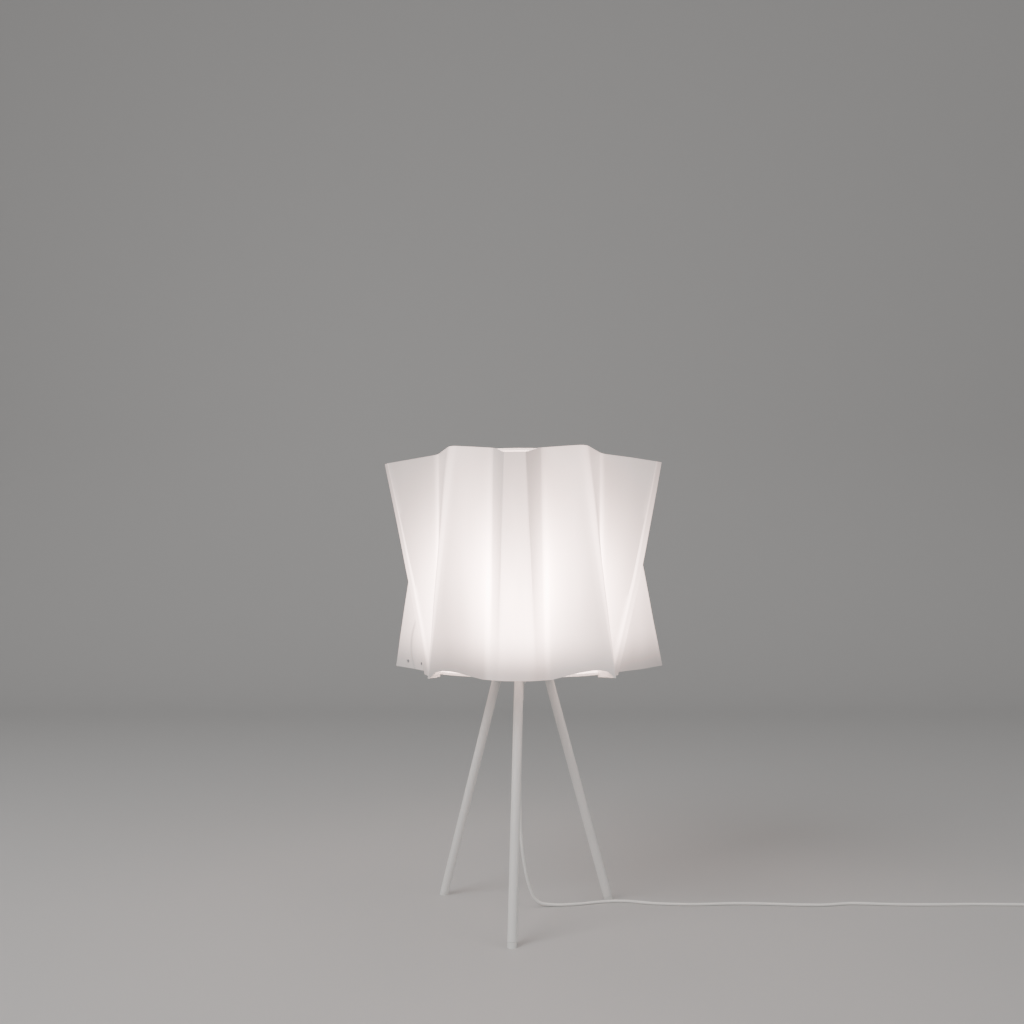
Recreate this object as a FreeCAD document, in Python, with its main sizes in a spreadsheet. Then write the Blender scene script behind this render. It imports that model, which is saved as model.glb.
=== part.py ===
import FreeCAD, Part
import math
import os
import Sketcher
from FreeCAD import Rotation, Vector

# Table lamp: a pleated shade on three splayed tube legs, with a lampholder, bulb and cord.
# Millimetres. The lamp's axis is Z, the floor is Z = 0, and the front leg points to -Y.

os.makedirs("parts", exist_ok=True)
doc = FreeCAD.newDocument("pleated_lamp")
sheet = doc.addObject("Spreadsheet::Sheet", "sheet")

# name, size (mm, degrees or a count), what it is
SIZES = [
    ("fit_gap", 0.3, "running gap between pieces that come apart"),
    ("slip_gap", 0.1, "gap between pieces that are fixed together"),
    # pleated sheet
    ("fold_count", 5, "folds round the shade"),
    ("shade_turn_angle", -3.0, "turn of the first fold from the front"),
    ("sheet_wall", 0.8, "thickness of the sheet"),
    ("nose_top_radius", 179.5, "flat-nosed folds at the upper rim"),
    ("nose_top_width", 25.0, "width of the nose at the upper rim"),
    ("nose_top_drop", 11.0, "upper rim at a nose, below its height in a valley"),
    ("nose_foot_radius", 127.5, "the same folds at the lower rim"),
    ("nose_foot_width", 34.0, "width of the nose at the lower rim"),
    ("nose_foot_drop", 6.0, "lower rim at a nose, below the hub's top"),
    ("flare_top_radius", 140.0, "pointed folds at the upper rim"),
    ("flare_top_rise", 4.0, "upper rim at a pointed fold, above its height in a valley"),
    ("flare_foot_radius", 192.0, "pointed folds at the lower rim"),
    ("flare_foot_rise", 6.0, "lower rim at a pointed fold, above the hub's top"),
    ("valley_radius", 122.0, "valleys, against both carrier rings"),
    ("valley_top_angle", 14.0, "valley from the nose, upper rim"),
    ("valley_foot_angle", 18.1, "valley from the nose, lower rim"),
    ("shade_height", 277.0, "upper rim in a valley, above the hub's top"),
    ("valley_foot_drop", 3.0, "lower rim in a valley, below the hub's top"),
    ("valley_bend", 9.0, "bend radius in a valley"),
    # seam
    ("seam_share", 0.58, "seam across its panel, as a share from the pointed fold"),
    ("seam_slot", 0.5, "gap where the two ends of the sheet meet"),
    ("patch_wall", 0.6, "thickness of the patch behind the seam"),
    ("patch_width", 52.0, "width of the patch at the lower rim"),
    ("patch_length", 48.0, "height of the patch"),
    ("patch_margin", 3.0, "patch in from the rim"),
    ("rivet_radius", 1.0, "shank of a seam rivet"),
    ("rivet_head_radius", 2.0, "head of a seam rivet"),
    ("rivet_head_height", 0.8, "head of a seam rivet"),
    ("rivet_spread", 17.0, "rivet from the seam"),
    ("rivet_margin", 9.0, "rivet from the rim"),
    # carrier rings
    ("plate_wall", 3.0, "thickness of both carrier rings"),
    ("ring_width", 20.0, "radial width of the top ring"),
    ("top_ring_drop", 4.0, "top ring's underside below the rim in a valley"),
    ("top_ring_inset", 0.2, "top ring's edge in from the valleys' fold lines"),
    ("carrier_inset", 0.8, "carrier's edge in from the valleys' fold lines"),
    ("lug_width", 8.0, "lug through the sheet"),
    ("lug_reach", 0.2, "lug's end beyond the valley's fold line"),
    ("slot_reach", 8.0, "slot's cut beyond the valley's fold line"),
    ("collar_radius", 34.0, "opening in the carrier that passes over the bulb"),
    # hub and legs
    ("hub_radius", 46.0, "hub plate"),
    ("hub_bottom", 311.0, "underside of the hub's edge"),
    ("hub_top", 320.0, "face that carries the shade"),
    ("hub_edge", 1.5, "chamfer at the hub's edge"),
    ("hub_recess_radius", 27.0, "recess under the hub"),
    ("hub_recess_depth", 4.0, "recess under the hub"),
    ("spigot_height", 3.5, "spigot that centres the shade"),
    ("tripod_turn_angle", -5.4, "turn of the front leg from the front"),
    ("foot_circle_radius", 132.5, "where the legs' axes meet the floor"),
    ("leg_lean_angle", 16.7, "legs from the vertical"),
    ("leg_radius", 6.0, "leg tube"),
    ("leg_wall", 1.0, "leg tube's wall"),
    ("foot_height", 6.0, "foot cap below the tube, along the leg"),
    ("foot_edge", 0.8, "chamfer on a foot cap"),
    ("foot_plug_length", 14.0, "foot cap's plug in the tube"),
    ("stud_radius", 4.0, "stud's thread in the hub"),
    ("stud_length", 24.0, "stud inside the tube"),
    # stem, nut and cord grip
    ("stem_radius", 5.0, "hollow threaded stem"),
    ("stem_bore", 3.6, "way for the wires"),
    ("stem_bottom", 304.5, "lower end of the stem"),
    ("stem_top", 334.0, "upper end of the stem"),
    ("washer_radius", 9.0, "washer under the hub"),
    ("washer_wall", 1.0, "washer under the hub"),
    ("nut_flats", 14.0, "lock nut across flats"),
    ("nut_height", 4.0, "lock nut"),
    ("grip_radius", 6.8, "cord grip's collar"),
    ("grip_neck_radius", 3.4, "cord grip's sleeve at its top"),
    ("grip_end_radius", 2.7, "cord grip's sleeve at its end"),
    ("grip_length", 24.5, "cord grip's tapered sleeve"),
    # lampholder
    ("holder_radius", 20.0, "lampholder"),
    ("holder_wall", 1.8, "lampholder's shell"),
    ("holder_split", 348.0, "joint between the holder's two shells"),
    ("holder_height", 38.0, "upper shell of the holder"),
    ("holder_step", 9.0, "shoulder of the lower shell"),
    ("holder_mouth_radius", 15.6, "mouth of the holder"),
    ("core_height", 9.0, "insulating core"),
    ("shell_radius", 13.6, "bore of the threaded shell"),
    ("shell_wall", 0.5, "threaded shell"),
    ("shell_height", 25.0, "threaded shell"),
    ("contact_radius", 4.5, "centre contact"),
    ("contact_height", 3.0, "centre contact above the core"),
    ("terminal_radius", 1.9, "terminal screw"),
    ("terminal_length", 5.0, "terminal screw"),
    ("terminal_spread", 9.0, "terminal screw from the axis"),
    ("switch_radius", 2.3, "push-through switch bar"),
    ("switch_height", 341.0, "axis of the switch bar"),
    ("switch_length", 54.0, "switch bar, end to end"),
    ("switch_travel", 6.0, "switch bar's stroke"),
    ("switch_offset", 8.0, "switch bar beside the wires"),
    ("wire_radius", 0.9, "insulated wires inside the lamp"),
    # bulb
    ("bulb_radius", 30.0, "widest part of the bulb"),
    ("bulb_height", 106.0, "bulb, end to end"),
    ("bulb_wall", 0.8, "bulb's glass"),
    ("bulb_steps", 12, "steps from the bulb's shoulder to its top"),
    ("cap_radius", 13.0, "bulb's screw cap"),
    ("cap_height", 24.0, "bulb's screw cap"),
    ("cap_wall", 0.4, "bulb's screw cap"),
    ("tip_radius", 4.2, "bulb's end contact"),
    ("tip_height", 1.2, "bulb's end contact"),
    ("insulator_height", 3.5, "glass ring round the end contact"),
    ("glass_stem_radius", 4.5, "glass stem in the bulb"),
    ("filament_radius", 0.9, "light filament"),
    ("filament_length", 34.0, "light filament"),
    ("filament_spread", 9.0, "light filament from the axis"),
    ("filament_count", 4, "light filaments"),
    # cord, coil and plug
    ("cord_radius", 2.0, "mains cord"),
    ("coil_x", 738.0, "centre of the coil"),
    ("coil_y", 50.0, "centre of the coil"),
    ("coil_loops", 3, "loops in each of the coil's two layers"),
    ("coil_pitch", 5.2, "loop to loop, and layer to layer"),
    ("coil_radius", 30.0, "outermost loop"),
    ("coil_lead", 16.0, "straight end of the coil, to the plug"),
    ("coil_lift", 0.8, "gap under the coil for its tie"),
    ("tie_width", 7.0, "tie round the coil"),
    ("tie_wall", 0.5, "tie round the coil"),
    ("plug_width", 35.0, "plug"),
    ("plug_thickness", 14.4, "plug"),
    ("plug_length", 36.0, "plug's body"),
    ("plug_neck_length", 24.0, "plug's tapered sleeve"),
    ("pin_radius", 2.0, "plug pin"),
    ("pin_length", 19.0, "plug pin"),
    ("pin_spread", 9.3, "plug pin from the middle"),
]
for row, (alias, number, note) in enumerate(SIZES, start=1):
    sheet.set(f"A{row}", note)
    sheet.set(f"B{row}", str(number))
    sheet.setAlias(f"B{row}", alias)
doc.recompute()


class Size:
    """A number from the sheet, or worked out from it, with the expression that gives it."""

    def __init__(self, value, text=None):
        self.value = float(value)
        self.text = text or repr(self.value)

    def join(self, other, sign, value):
        other = other if isinstance(other, Size) else Size(other)
        return Size(value(self.value, other.value), f"({self.text} {sign} {other.text})")

    def __add__(self, other):
        return self.join(other, "+", lambda a, b: a + b)

    def __sub__(self, other):
        return self.join(other, "-", lambda a, b: a - b)

    def __mul__(self, other):
        return self.join(other, "*", lambda a, b: a * b)

    def __truediv__(self, other):
        return self.join(other, "/", lambda a, b: a / b)

    def __neg__(self):
        return Size(0) - self


def size(alias):
    return Size(getattr(sheet, alias), f"sheet.{alias}")


def number(alias):
    return float(getattr(sheet, alias))


def polar(radius, azimuth, height, offset=0.0):
    """A point at an azimuth from the front (-Y) towards +X, offset sideways along the tangent."""
    turn = math.radians(azimuth)
    x = radius * math.sin(turn) + offset * math.cos(turn)
    y = -radius * math.cos(turn) + offset * math.sin(turn)
    return Vector(x, y, height)


nodes = {}


def keep(name, thing):
    """Name a finished sub-part."""
    thing.Label = name
    nodes[name] = thing
    return thing


def bind(thing, **sizes):
    """Bind properties of an object to expressions of the sheet."""
    for prop, value in sizes.items():
        thing.setExpression(prop.replace("__", "."), value.text)
    return thing


def origin_plane(body, role):
    return next(part for part in body.Origin.OriginFeatures if part.Role == role)


def outline(body, name, plane, points):
    """A closed sketch through points (x, y), or (x, y, radius) where an arc starts at that point."""
    sketch = body.newObject("Sketcher::SketchObject", name)
    sketch.AttachmentSupport = (origin_plane(body, plane), [""])
    sketch.MapMode = "FlatFace"
    count = len(points)
    for index, point in enumerate(points):
        here = Vector(point[0].value, point[1].value, 0)
        ahead = points[(index + 1) % count]
        there = Vector(ahead[0].value, ahead[1].value, 0)
        if len(point) == 2:
            sketch.addGeometry(Part.LineSegment(here, there), False)
            continue
        # a positive radius bulges to the right of the way the outline runs
        radius = point[2].value
        half = (there - here) * 0.5
        rise = math.sqrt(max(radius**2 - half.Length**2, 0.0))
        side = Vector(half.y, -half.x, 0).normalize() * (abs(radius) - rise)
        middle = here + half + (side if radius > 0 else -side)
        sketch.addGeometry(Part.Arc(here, middle, there), False)
    # a sketch stores every arc anticlockwise, so look up which end is which
    ends = []
    for index, point in enumerate(points):
        here = Vector(point[0].value, point[1].value, 0)
        start = sketch.getPoint(index, 1).distanceToPoint(here) < 1e-6
        ends.append((1, 2) if start else (2, 1))
    for index, point in enumerate(points):
        ahead = (index + 1) % count
        first, last = ends[index]
        sketch.addConstraint(Sketcher.Constraint("Coincident", index, last, ahead, ends[ahead][0]))
        for kind, value in (("DistanceX", point[0]), ("DistanceY", point[1])):
            pin = Sketcher.Constraint(kind, -1, 1, index, first, value.value)
            sketch.setExpression(f"Constraints[{sketch.addConstraint(pin)}]", value.text)
        if len(point) == 3:
            bend = Sketcher.Constraint("Radius", index, abs(point[2].value))
            text = point[2].text if point[2].value > 0 else f"-({point[2].text})"
            sketch.setExpression(f"Constraints[{sketch.addConstraint(bend)}]", text)
    return sketch


def turned(name, points):
    """A body turned about Z from a half section of (radius, height) points."""
    body = doc.addObject("PartDesign::Body", name)
    sketch = outline(body, f"{name}_section", "XZ_Plane", points)
    spin = body.newObject("PartDesign::Revolution", f"{name}_turned")
    spin.Profile = sketch
    spin.ReferenceAxis = (sketch, ["V_Axis"])
    spin.Angle = 360
    body.Tip = spin
    sketch.Visibility = False
    return body


def rod(name, radius, length):
    return bind(doc.addObject("Part::Cylinder", name), Radius=radius, Height=length)


def block(name, length, width, height):
    box = doc.addObject("Part::Box", name)
    bind(box, Length=length, Width=width, Height=height)
    bind(box, Placement__Base__x=-length / 2, Placement__Base__y=-width / 2)
    return box


def cut(name, base, *tools):
    result = doc.addObject("Part::Cut", name)
    result.Base = base
    result.Tool = tools[0] if len(tools) == 1 else fuse(f"{name}_tools", tools)
    return result


def fuse(name, shapes):
    result = doc.addObject("Part::MultiFuse", name)
    result.Shapes = list(shapes)
    return result


def common(name, base, tool):
    result = doc.addObject("Part::Common", name)
    result.Base = base
    result.Tool = tool
    return result


def group(name, shapes):
    """Identical pieces kept as separate solids of one node."""
    result = doc.addObject("Part::Compound", name)
    result.Links = list(shapes)
    return result


def fixed(name, shape):
    """A form that no feature gives, from its own shape."""
    feature = doc.addObject("Part::Feature", name)
    feature.Shape = shape
    return feature


zero = Size(0)

# ---------------------------------------------------------------- pleated sheet


def fold_lines():
    """Every fold round the shade: its point on the upper rim, on the lower rim, and its bend."""
    step = 360.0 / number("fold_count")
    nose_top, nose_foot = number("nose_top_radius"), number("nose_foot_radius")
    valley_top = number("hub_top") + number("shade_height")
    nose_top_height = valley_top - number("nose_top_drop")
    nose_foot_height = number("hub_top") - number("nose_foot_drop")
    flare_top_height = valley_top + number("flare_top_rise")
    flare_foot_height = number("hub_top") + number("flare_foot_rise")
    half_top, half_foot = number("nose_top_width") / 2, number("nose_foot_width") / 2
    lines = []
    for fold in range(int(number("fold_count"))):
        nose = number("shade_turn_angle") + fold * step
        for side in (-1, 1):
            top = polar(nose_top, nose, nose_top_height, side * half_top)
            foot = polar(nose_foot, nose, nose_foot_height, side * half_foot)
            lines.append((top, foot, 0.0))
        lines.append(valley(nose, 1))
        top = polar(number("flare_top_radius"), nose + step / 2, flare_top_height)
        foot = polar(number("flare_foot_radius"), nose + step / 2, flare_foot_height)
        lines.append((top, foot, 0.0))
        lines.append(valley(nose + step, -1))
    return lines


def valley(nose, side):
    top_azimuth = nose + side * number("valley_top_angle")
    foot_azimuth = nose + side * number("valley_foot_angle")
    radius = number("valley_radius")
    top = polar(radius, top_azimuth, number("hub_top") + number("shade_height"))
    foot = polar(radius, foot_azimuth, number("hub_top") - number("valley_foot_drop"))
    return top, foot, number("valley_bend")


def inset(points, depth):
    """The same closed outline, moved inwards by a depth, at the same heights."""
    moved = []
    for index, point in enumerate(points):
        before = points[index - 1]
        after = points[(index + 1) % len(points)]
        first = Vector(before.y - point.y, point.x - before.x, 0).normalize()
        second = Vector(point.y - after.y, after.x - point.x, 0).normalize()
        moved.append(point + (first + second) * (depth / (1 + first.dot(second))))
    return moved


def rounded(points, bends):
    """Start, middle and end of the bend at each point of a closed outline."""
    turns = []
    for index, point in enumerate(points):
        if not bends[index]:
            turns.append((point, point, point))
            continue
        to_before = points[index - 1] - point
        to_after = points[(index + 1) % len(points)] - point
        reach = bends[index] / math.tan(to_before.getAngle(to_after) / 2)
        start = point + to_before * (reach / to_before.Length)
        end = point + to_after * (reach / to_after.Length)
        inward = ((start + end) * 0.5 - point).normalize()
        middle = point + inward * (math.hypot(reach, bends[index]) - bends[index])
        turns.append((start, middle, end))
    return turns


def rim(points, bends):
    """The edges of one rim, with its valleys rounded."""
    turns = rounded(points, bends)
    edges = []
    for index, (start, middle, end) in enumerate(turns):
        if start != end:
            edges.append(Part.Arc(start, middle, end).toShape())
        ahead = turns[(index + 1) % len(turns)][0]
        edges.append(Part.LineSegment(end, ahead).toShape())
    return edges


def ruled(first_edges, second_edges):
    return [Part.makeRuledSurface(first, second) for first, second in zip(first_edges, second_edges)]


def closed_solid(faces):
    skin = Part.Compound(faces)
    skin.sewShape()
    solid = Part.Solid(skin.Shells[0])
    if solid.Volume < 0:
        solid.reverse()
    return solid


def pleats():
    """The folded strip, as ruled panels between its two rims, with a wall."""
    lines = fold_lines()
    wall = number("sheet_wall")
    outer_bends = [bend for top, foot, bend in lines]
    inner_bends = [bend + wall if bend else 0.0 for bend in outer_bends]
    tops = [top for top, foot, bend in lines]
    feet = [foot for top, foot, bend in lines]
    outer_top, outer_foot = rim(tops, outer_bends), rim(feet, outer_bends)
    inner_top = rim(inset(tops, wall), inner_bends)
    inner_foot = rim(inset(feet, wall), inner_bends)
    faces = ruled(outer_foot, outer_top) + ruled(inner_foot, inner_top)
    faces += ruled(outer_top, inner_top) + ruled(outer_foot, inner_foot)
    return closed_solid(faces)


def along(line, height):
    """The point of a fold line at a height."""
    top, foot, bend = line
    share = (height - foot.z) / (top.z - foot.z)
    return foot + (top - foot) * share


def ring_lugs(height, reach, grow=0.0):
    """Lugs of a carrier ring through the valleys, or the slots for them where grow is a gap."""
    wall = number("plate_wall")
    width = number("lug_width") + 2 * grow
    lugs = []
    for line in fold_lines():
        if not line[2]:
            continue
        spot = along(line, height + wall / 2)
        length = number("ring_width") / 2 + reach
        root = math.hypot(spot.x, spot.y) + reach - length
        lug = Part.makeBox(length, width, wall + 2 * grow, Vector(root, -width / 2, height - grow))
        lug.rotate(Vector(0, 0, 0), Vector(0, 0, 1), math.degrees(math.atan2(spot.y, spot.x)))
        lugs.append(lug)
    return lugs


class SeamPanel:
    """The panel at the left rear that holds the seam, measured from its pointed fold."""

    def __init__(self):
        lines = fold_lines()
        bends = [bend for top, foot, bend in lines]
        tops = rounded([top for top, foot, bend in lines], bends)
        feet = rounded([foot for top, foot, bend in lines], bends)
        flare = 5 * (int(number("fold_count")) - 2) + 3
        self.flare = (tops[flare][2], feet[flare][2])
        self.valley = (tops[flare + 1][0], feet[flare + 1][0])

    def width(self, share):
        return (along_share(self.valley, share) - along_share(self.flare, share)).Length

    def spot(self, across, share, depth=0.0):
        """A point at a share of the width and of the height, and a depth behind the outer face."""
        left, right = along_share(self.flare, share), along_share(self.valley, share)
        return left + (right - left) * across - self.facing(across, share) * depth

    def facing(self, across, share):
        left, right = along_share(self.flare, share), along_share(self.valley, share)
        low = self.flare[1] + (self.valley[1] - self.flare[1]) * across
        high = self.flare[0] + (self.valley[0] - self.flare[0]) * across
        normal = (right - left).cross(high - low).normalize()
        return normal if normal.dot(Vector(left.x, left.y, 0)) > 0 else -normal


def along_share(line, share):
    return line[1] + (line[0] - line[1]) * share


panel = SeamPanel()
crease_length = (panel.flare[0] - panel.flare[1]).Length
rivet_rows = [number("rivet_margin") / crease_length, 1 - number("rivet_margin") / crease_length]


def rivet_places():
    """Pairs of rivets, one each side of the seam, near both rims."""
    for share in rivet_rows:
        for side in (-1, 1):
            across = number("seam_share") + side * number("rivet_spread") / panel.width(share)
            yield min(max(across, 0.1), 0.88), share


def rivet_rod(across, share, radius, front, back):
    """A rod through the panel, from a height in front of its outer face to a depth behind it."""
    start = panel.spot(across, share) + panel.facing(across, share) * front
    return Part.makeCylinder(radius, front + back, start, -panel.facing(across, share))


def seam_cutter():
    """A thin slab across the wall, along the line where the two ends of the sheet meet."""
    across, gap = number("seam_share"), number("seam_slot")
    foot, head = panel.spot(across, -0.1), panel.spot(across, 1.1)
    side = (panel.valley[1] - panel.flare[1]).normalize() * (gap / 2)
    facing = panel.facing(across, 0.5) * (3 * number("sheet_wall"))
    corners = [foot - side, foot + side, head + side, head - side]
    face = Part.Face(Part.makePolygon([c - facing for c in corners + corners[:1]]))
    return face.extrude(facing * 2)


def patch(low, high):
    """A thin plate behind the panel between two shares of its height."""
    near = number("sheet_wall") + number("fit_gap")
    far = near + number("patch_wall")
    half = number("patch_width") / 2
    loops = []
    for depth in (near, far):
        loop = []
        for share, side in ((low, -1), (low, 1), (high, 1), (high, -1)):
            across = number("seam_share") + side * half / panel.width(share)
            loop.append(panel.spot(min(max(across, 0.08), 0.9), share, depth))
        loops.append(loop)
    pairs = [(i, (i + 1) % 4) for i in range(4)]
    near_edges, far_edges = [
        [Part.LineSegment(loop[a], loop[b]).toShape() for a, b in pairs] for loop in loops
    ]
    faces = ruled(near_edges, far_edges)
    for loop in loops:
        low_edge = Part.LineSegment(loop[0], loop[1]).toShape()
        high_edge = Part.LineSegment(loop[3], loop[2]).toShape()
        faces.append(Part.makeRuledSurface(low_edge, high_edge))
    return closed_solid(faces)


top_ring_height = size("hub_top") + size("shade_height") - size("top_ring_drop")
carrier_height = size("hub_top")
grip = number("sheet_wall") + number("fit_gap") + number("patch_wall") + number("slip_gap") * 2

sheet_shape = pleats()
openings = ring_lugs(top_ring_height.value, number("slot_reach"), number("fit_gap"))
openings += ring_lugs(carrier_height.value, number("slot_reach"), number("fit_gap"))
hole_radius = number("rivet_radius") + number("fit_gap")
reach = 5 * number("sheet_wall")
rivet_holes = [rivet_rod(a, s, hole_radius, reach, reach) for a, s in rivet_places()]
openings += rivet_holes
openings.append(seam_cutter())
keep("pleated_sheet", fixed("pleated_sheet", sheet_shape.cut(openings)))

margin = number("patch_margin") / crease_length
tall = number("patch_length") / crease_length
patches = [patch(margin, margin + tall), patch(1 - margin - tall, 1 - margin)]
patches = [plate.cut(rivet_holes) for plate in patches]
keep("seam_patches", fixed("seam_patches", Part.Compound(patches)))

rivets = []
slip = number("slip_gap")
for across, share in rivet_places():
    shank = rivet_rod(across, share, number("rivet_radius"), slip, grip)
    head_height = number("rivet_head_height")
    head = rivet_rod(across, share, number("rivet_head_radius"), head_height + slip, -slip)
    back = rivet_rod(across, share, number("rivet_head_radius"), -grip, grip + head_height)
    rivets.append(shank.fuse([head, back]))
keep("seam_rivets", fixed("seam_rivets", Part.Compound(rivets)))

# ---------------------------------------------------------------- carrier rings

top_ring_outer = size("valley_radius") - size("top_ring_inset")
top_ring_inner = top_ring_outer - size("ring_width")
carrier_outer = size("valley_radius") - size("carrier_inset")


def flat_ring(name, inner, outer, bottom):
    top = bottom + size("plate_wall")
    return turned(name, [(inner, bottom), (outer, bottom), (outer, top), (inner, top)])


def with_lugs(name, ring, height):
    """A carrier ring with its ten lugs, trimmed so that each starts inside the ring."""
    lugs = fixed(f"{name}_lugs", Part.Compound(ring_lugs(height, number("lug_reach"))))
    return fuse(name, [ring, lugs])


top_ring = flat_ring("top_ring_blank", top_ring_inner, top_ring_outer, top_ring_height)
keep("top_ring", with_lugs("top_ring", top_ring, top_ring_height.value))

carrier_blank = flat_ring("carrier_blank", size("collar_radius"), carrier_outer, carrier_height)
keep("carrier_plate", with_lugs("carrier_plate", carrier_blank, carrier_height.value))

# ---------------------------------------------------------------- hub and legs

lean = number("leg_lean_angle")
leg_names = ["front", "right", "left"]
spigot_radius = size("collar_radius") - size("fit_gap")
stem_hole = size("stem_radius") + size("slip_gap")
recess_top = size("hub_bottom") + size("hub_recess_depth")
spigot_top = size("hub_top") + size("spigot_height")


def leg_frame(index):
    """The frame of a leg: its Z runs up the leg from where the axis meets the floor."""
    azimuth = number("tripod_turn_angle") + index * 360.0 / len(leg_names)
    foot = polar(number("foot_circle_radius"), azimuth, 0)
    inward = Vector(-foot.x, -foot.y, 0).normalize()
    tilt = math.radians(lean)
    axis = inward * math.sin(tilt) + Vector(0, 0, math.cos(tilt))
    return FreeCAD.Placement(foot, Rotation(Vector(0, 0, 1), axis))


def on_leg(thing, index, distance=0.0):
    frame = leg_frame(index)
    thing.Placement = FreeCAD.Placement(frame.multVec(Vector(0, 0, distance)), frame.Rotation)
    return thing


hub_blank = turned("hub_blank", [
    (stem_hole, recess_top),
    (size("hub_recess_radius"), recess_top),
    (size("hub_recess_radius"), size("hub_bottom")),
    (size("hub_radius") - size("hub_edge"), size("hub_bottom")),
    (size("hub_radius"), size("hub_bottom") + size("hub_edge")),
    (size("hub_radius"), size("hub_top") - size("hub_edge")),
    (size("hub_radius") - size("hub_edge"), size("hub_top")),
    (spigot_radius, size("hub_top")),
    (spigot_radius, spigot_top),
    (stem_hole, spigot_top),
])
hub_along_leg = number("hub_bottom") / math.cos(math.radians(lean))
hub_thick_along_leg = (number("hub_top") - number("hub_bottom")) / math.cos(math.radians(lean))
stud_holes = []
for index, side in enumerate(leg_names):
    hole = rod(f"stud_hole_{side}", size("stud_radius") + size("slip_gap"), size("stud_length") * 2)
    stud_holes.append(on_leg(hole, index, hub_along_leg - number("stud_length")))
keep("hub", cut("hub", hub_blank, *stud_holes))

studs = []
for index, side in enumerate(leg_names):
    tube_bore = size("leg_radius") - size("leg_wall")
    tube_end = hub_along_leg - number("leg_radius") * math.tan(math.radians(lean))
    shank_end = hub_thick_along_leg + hub_along_leg - tube_end - number("leg_radius") * math.tan(math.radians(lean))
    thick = rod(f"stud_plug_{side}", tube_bore - size("slip_gap"), size("stud_length"))
    on_leg(thick, index, tube_end - number("stud_length"))
    thin = rod(f"stud_thread_{side}", size("stud_radius"), size("stud_length") + Size(shank_end))
    on_leg(thin, index, tube_end - number("stud_length"))
    studs.append(fuse(f"stud_{side}", [thick, thin]))
keep("leg_studs", group("leg_studs", studs))

hub_zone = block("below_hub", size("foot_circle_radius") * 3, size("foot_circle_radius") * 3, size("hub_bottom"))
for index, side in enumerate(leg_names):
    outer = rod(f"tube_{side}", size("leg_radius"), size("hub_top"))
    inner = rod(f"bore_{side}", size("leg_radius") - size("leg_wall"), size("hub_top"))
    for tube in (outer, inner):
        on_leg(tube, index, number("foot_height"))
    tube = cut(f"tube_wall_{side}", outer, inner)
    keep(f"leg_{side}", common(f"leg_{side}", tube, hub_zone))

    plug_radius = size("leg_radius") - size("leg_wall") - size("slip_gap")
    cap = turned(f"foot_blank_{side}", [
        (zero, -size("foot_height")),
        (size("leg_radius"), -size("foot_height")),
        (size("leg_radius"), size("foot_height") - size("foot_edge")),
        (size("leg_radius") - size("foot_edge"), size("foot_height")),
        (plug_radius, size("foot_height")),
        (plug_radius, size("foot_height") + size("foot_plug_length")),
        (zero, size("foot_height") + size("foot_plug_length")),
    ])
    on_leg(cap, index)
    keep(f"foot_{side}", common(f"foot_{side}", cap, hub_zone))

# ---------------------------------------------------------------- stem, nut and cord grip

keep("stem_tube", turned("stem_tube", [
    (size("stem_bore"), size("stem_bottom")),
    (size("stem_radius"), size("stem_bottom")),
    (size("stem_radius"), size("stem_top")),
    (size("stem_bore"), size("stem_top")),
]))
washer_bottom = recess_top - size("washer_wall")
keep("lock_washer", turned("lock_washer", [
    (stem_hole, washer_bottom),
    (size("washer_radius"), washer_bottom),
    (size("washer_radius"), recess_top),
    (stem_hole, recess_top),
]))
nut_bottom = washer_bottom - size("nut_height")
hexagon = bind(doc.addObject("Part::Prism", "nut_hexagon"), Height=size("nut_height"))
hexagon.Polygon = 6
bind(hexagon, Circumradius=size("nut_flats") / math.sqrt(3), Placement__Base__z=nut_bottom)
nut_bore = bind(rod("nut_bore", stem_hole, size("nut_height")), Placement__Base__z=nut_bottom)
keep("lock_nut", cut("lock_nut", hexagon, nut_bore))

cord_hole = size("cord_radius") + size("slip_gap")
grip_bottom = size("stem_bottom") - size("grip_length")
keep("cord_grip", turned("cord_grip", [
    (cord_hole, grip_bottom),
    (size("grip_end_radius"), grip_bottom),
    (size("grip_neck_radius"), size("stem_bottom") - size("washer_wall") * 2),
    (size("grip_radius") - size("hub_edge"), size("stem_bottom") - size("washer_wall") * 2),
    (size("grip_radius"), size("stem_bottom")),
    (size("grip_radius"), nut_bottom - size("slip_gap")),
    (stem_hole, nut_bottom - size("slip_gap")),
    (stem_hole, size("stem_bottom") - size("slip_gap")),
    (cord_hole, size("stem_bottom") - size("slip_gap")),
]))

# ---------------------------------------------------------------- lampholder

holder_bottom = spigot_top
holder_inner = size("holder_radius") - size("holder_wall")
holder_split = size("holder_split")
holder_neck = size("stem_radius") + size("holder_step")
switch_hole = size("switch_radius") + size("fit_gap")

cap_blank = turned("holder_cap_blank", [
    (stem_hole, holder_bottom),
    (holder_neck, holder_bottom),
    (size("holder_radius"), holder_bottom + size("holder_step")),
    (size("holder_radius"), holder_split),
    (holder_inner, holder_split),
    (holder_inner, holder_bottom + size("holder_step")),
    (holder_neck - size("holder_wall"), holder_bottom + size("holder_wall")),
    (stem_hole + size("holder_wall"), holder_bottom + size("holder_wall")),
    (stem_hole + size("holder_wall"), size("stem_top")),
    (stem_hole, size("stem_top")),
])


def crosswise(name, radius, length):
    """A rod along X through the holder at the switch bar's height."""
    bar = rod(name, radius, length)
    start = Vector(-length.value / 2, number("switch_offset"), number("switch_height"))
    bar.Placement = FreeCAD.Placement(start, Rotation(Vector(0, 1, 0), 90))
    return bar


switch_way = crosswise("switch_way", switch_hole, size("switch_length"))
keep("holder_cap", cut("holder_cap", cap_blank, switch_way))

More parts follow.
